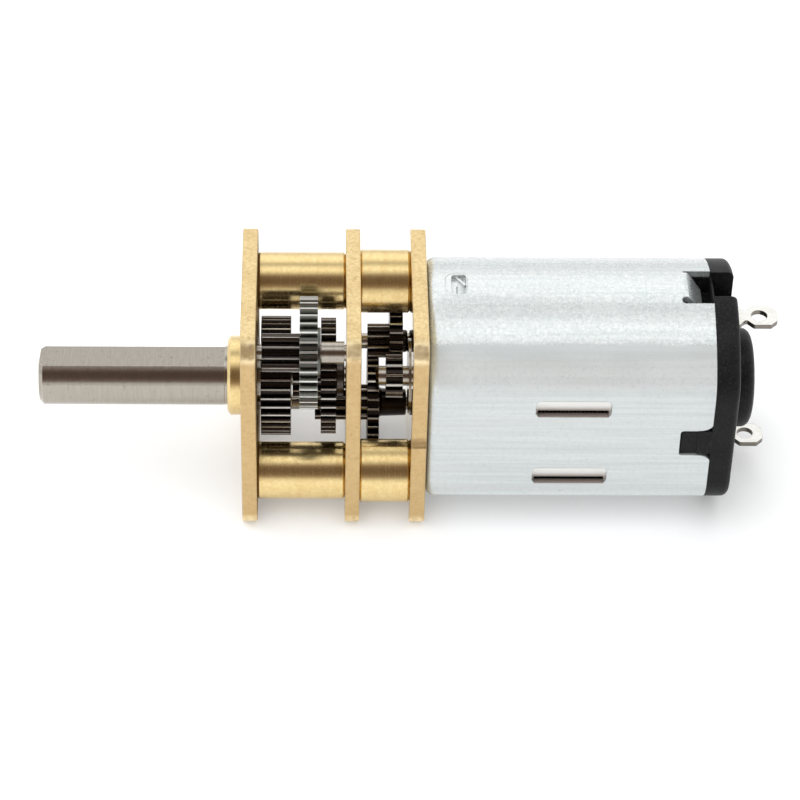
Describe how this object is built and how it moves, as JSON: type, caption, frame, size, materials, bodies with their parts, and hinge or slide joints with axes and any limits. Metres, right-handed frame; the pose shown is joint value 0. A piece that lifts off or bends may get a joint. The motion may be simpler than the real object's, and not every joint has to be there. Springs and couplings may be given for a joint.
{
  "type": "geared dc motor",
  "caption": "Miniature brushed DC motor with an open brass frame, a spur reduction, a D-cut output shaft, a flat mounting face with a boss, and solder tabs at the rear.",
  "frame": {"origin": "centre of the front plate's mounting face, on the output shaft's axis", "axes": "+X out along the output shaft, +Y across the narrow side (10 mm), +Z across the wide side (12 mm); the motor lies towards -X"},
  "size_m": [0.0368, 0.01, 0.012],
  "materials": {
    "brass_plate": "satin",
    "brass_turned": "polished",
    "bushing_bronze": "satin",
    "screw_steel": "satin",
    "shaft_steel": "satin",
    "gear_steel_dark": "satin",
    "gear_steel": "satin",
    "can_zinc": "satin",
    "ferrite": "matte",
    "lamination": "satin",
    "copper_wire": "satin",
    "black_plastic": "satin",
    "tin_plate": "satin",
    "brush_copper": "satin"
  },
  "bodies": {
    "housing": {"front_plate": "brass_plate", "mid_plate": "brass_plate", "rear_plate": "brass_plate", "long_spacer_upper": "brass_turned", "long_spacer_lower": "brass_turned", "short_spacer_upper": "brass_turned", "short_spacer_lower": "brass_turned", "tie_screw_upper": "screw_steel", "tie_screw_lower": "screw_steel", "output_bushing": "brass_turned", "fourth_arbor": "shaft_steel", "fourth_sleeve": "shaft_steel", "second_arbor": "shaft_steel", "first_arbor": "shaft_steel", "front_bearing": "shaft_steel", "motor_can": "can_zinc", "magnet_upper": "ferrite", "magnet_lower": "ferrite", "rear_bearing": "bushing_bronze", "end_cap": "black_plastic", "terminal_upper": "tin_plate", "terminal_lower": "tin_plate", "brush_upper": "brush_copper", "brush_lower": "brush_copper"},
    "rotor": {"motor_shaft": "shaft_steel", "motor_pinion": "gear_steel_dark", "rotor_core": "lamination", "rotor_coil_1": "copper_wire", "rotor_coil_2": "copper_wire", "rotor_coil_3": "copper_wire", "commutator": "copper_wire"},
    "first_cluster": {"first_wheel": "gear_steel_dark", "first_pinion": "gear_steel_dark"},
    "second_cluster": {"second_wheel": "gear_steel_dark", "second_pinion": "gear_steel_dark"},
    "third_cluster": {"third_wheel": "gear_steel_dark", "third_pinion": "gear_steel_dark"},
    "fourth_cluster": {"fourth_wheel": "gear_steel", "fourth_pinion": "gear_steel_dark"},
    "output": {"output_shaft": "shaft_steel", "output_gear": "gear_steel_dark"}
  },
  "joints": [
    {"name": "rotor_spin", "type": "hinge", "parent": "housing", "child": "rotor", "pos_m": [-0.0076, 0, 0], "axis": [1, 0, 0], "continuous": true},
    {"name": "first_spin", "type": "hinge", "parent": "housing", "child": "first_cluster", "pos_m": [-0.0074, -0.00285, -0.00012], "axis": [1, 0, 0], "continuous": true},
    {"name": "second_spin", "type": "hinge", "parent": "housing", "child": "second_cluster", "pos_m": [-0.0055, -0.00163, -0.00321], "axis": [1, 0, 0], "continuous": true},
    {"name": "third_spin", "type": "hinge", "parent": "housing", "child": "third_cluster", "pos_m": [-0.0042, 0, 0], "axis": [1, 0, 0], "continuous": true},
    {"name": "fourth_spin", "type": "hinge", "parent": "housing", "child": "fourth_cluster", "pos_m": [-0.003, 0.00189, 0.00312], "axis": [1, 0, 0], "continuous": true},
    {"name": "output_spin", "type": "hinge", "parent": "housing", "child": "output", "pos_m": [-0.0017, 0, 0], "axis": [1, 0, 0], "continuous": true}
  ],
  "couplings": [
    {"joint": "first_spin", "follows": "rotor_spin", "ratio": -0.5},
    {"joint": "second_spin", "follows": "rotor_spin", "ratio": 0.12857},
    {"joint": "third_spin", "follows": "rotor_spin", "ratio": -0.038224},
    {"joint": "fourth_spin", "follows": "rotor_spin", "ratio": 0.014197},
    {"joint": "output_spin", "follows": "rotor_spin", "ratio": -0.0036404}
  ]
}
